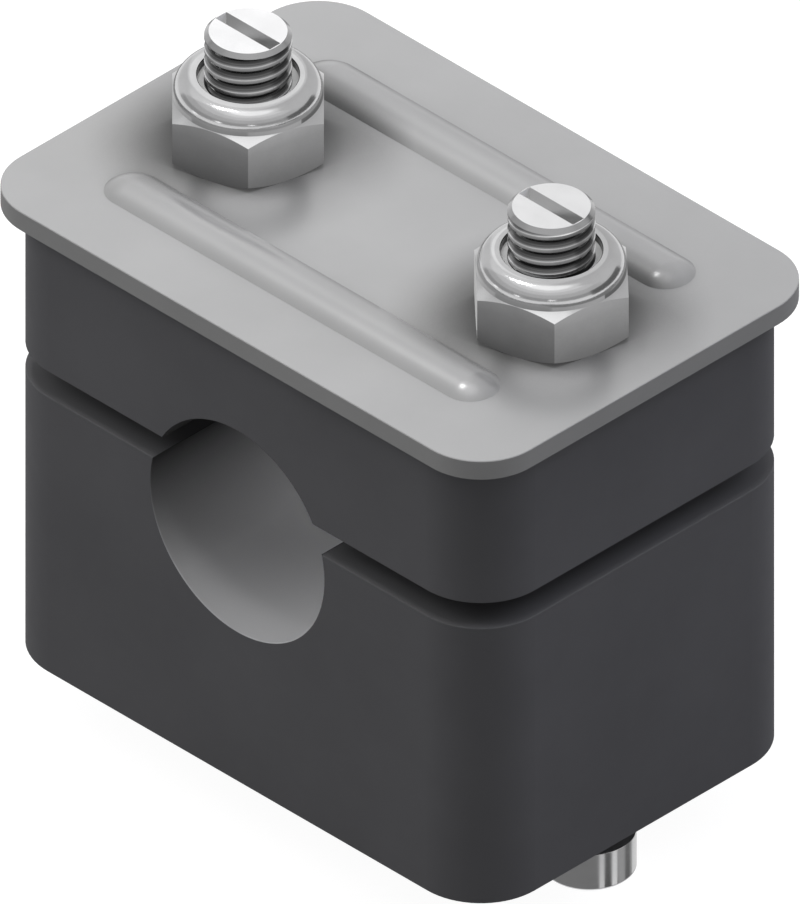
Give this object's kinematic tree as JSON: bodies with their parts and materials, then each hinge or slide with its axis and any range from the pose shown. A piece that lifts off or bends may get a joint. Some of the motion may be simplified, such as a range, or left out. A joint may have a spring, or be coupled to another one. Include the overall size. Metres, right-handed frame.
{
  "type": "tube clamp",
  "caption": "Split plastic block clamp for a round tube, closed by a ribbed steel cover plate, slotted hammer-head bolts and nylon-ring lock nuts.",
  "frame": {"origin": "centre of the tube bore, halfway along it", "axes": "+Y along the tube bore, +X along the line of the two bolts, +Z from the hammer heads up to the nuts"},
  "size_m": [0.094, 0.064, 0.1016],
  "materials": {
    "block_plastic": "satin moulded dark grey",
    "plate_steel": "satin stainless sheet",
    "bolt_steel": "bright stainless",
    "nut_steel": "bright stainless",
    "ring_nylon": "natural nylon"
  },
  "bodies": {
    "base": {"lower_half": "block_plastic"},
    "jaw": {"upper_half": "block_plastic", "cover_plate": "plate_steel"},
    "left_bolt": {"bolt_left": "bolt_steel"},
    "right_bolt": {"bolt_right": "bolt_steel"},
    "left_nut": {"nut_left": "nut_steel", "nut_ring_left": "ring_nylon"},
    "right_nut": {"nut_right": "nut_steel", "nut_ring_right": "ring_nylon"}
  },
  "joints": [
    {"name": "jaw_slide", "type": "slide", "parent": "base", "child": "jaw", "axis": [0, 0, 1], "range_m": [-0.004, 0.006]},
    {"name": "left_nut_turn", "type": "hinge", "parent": "jaw", "child": "left_nut", "pos_m": [-0.028, 0, 0.033], "axis": [0, 0, 1], "range_deg": [-720, 1080]},
    {"name": "right_nut_turn", "type": "hinge", "parent": "jaw", "child": "right_nut", "pos_m": [0.028, 0, 0.033], "axis": [0, 0, 1], "range_deg": [-720, 1080]},
    {"name": "left_bolt_turn", "type": "hinge", "parent": "base", "child": "left_bolt", "pos_m": [-0.028, 0, -0.04], "axis": [0, 0, 1], "range_deg": [-90, 0]},
    {"name": "right_bolt_turn", "type": "hinge", "parent": "base", "child": "right_bolt", "pos_m": [0.028, 0, -0.04], "axis": [0, 0, 1], "range_deg": [-90, 0]}
  ],
  "couplings": [
    {"joint": "left_nut_turn", "follows": "jaw_slide", "rad_per_m": 3141.6},
    {"joint": "right_nut_turn", "follows": "jaw_slide", "rad_per_m": 3141.6}
  ]
}
